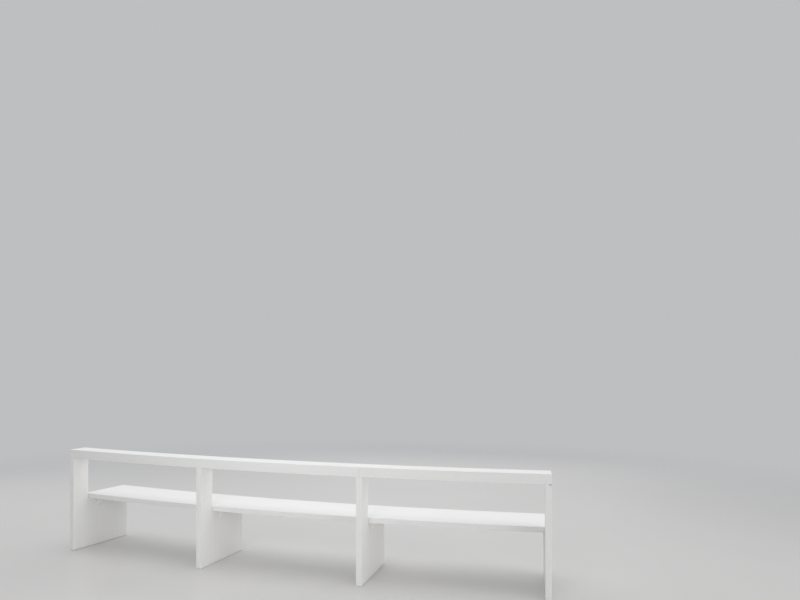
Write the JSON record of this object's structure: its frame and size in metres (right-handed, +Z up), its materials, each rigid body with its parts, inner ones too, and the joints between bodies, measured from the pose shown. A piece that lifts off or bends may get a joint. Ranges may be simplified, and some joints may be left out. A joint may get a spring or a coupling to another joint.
{
  "type": "curved church bench",
  "caption": "Long white church bench on a gentle curve: upright panels with narrow posts carry seat boards and a flat top rail as the back.",
  "frame": {"origin": "middle of the footprint, on the floor", "axes": "+X to the right along the bench for someone standing behind it, +Y forwards to the front of the seat and the centre of the curve, +Z up"},
  "size_m": [3.9448, 0.693, 0.838],
  "materials": {
    "lacquered_wood": "white satin lacquer with faint lengthwise grain and slightly eased edges",
    "bracket_steel": "white painted steel",
    "floor_glide": "matt grey plastic"
  },
  "bodies": {
    "root": {"left_end_upright": "lacquered_wood", "left_middle_upright": "lacquered_wood", "right_middle_upright": "lacquered_wood", "right_end_upright": "lacquered_wood", "seat_board_left": "lacquered_wood", "seat_board_right": "lacquered_wood", "top_rail_left": "lacquered_wood", "top_rail_right": "lacquered_wood", "left_bay_left_rear_bracket": "bracket_steel", "left_bay_left_front_bracket": "bracket_steel", "left_bay_right_rear_bracket": "bracket_steel", "left_bay_right_front_bracket": "bracket_steel", "middle_bay_left_rear_bracket": "bracket_steel", "middle_bay_left_front_bracket": "bracket_steel", "middle_bay_right_rear_bracket": "bracket_steel", "middle_bay_right_front_bracket": "bracket_steel", "right_bay_left_rear_bracket": "bracket_steel", "right_bay_left_front_bracket": "bracket_steel", "right_bay_right_rear_bracket": "bracket_steel", "right_bay_right_front_bracket": "bracket_steel", "left_end_rear_glide": "floor_glide", "left_end_front_glide": "floor_glide", "left_middle_rear_glide": "floor_glide", "left_middle_front_glide": "floor_glide", "right_middle_rear_glide": "floor_glide", "right_middle_front_glide": "floor_glide", "right_end_rear_glide": "floor_glide", "right_end_front_glide": "floor_glide"}
  },
  "joints": []
}
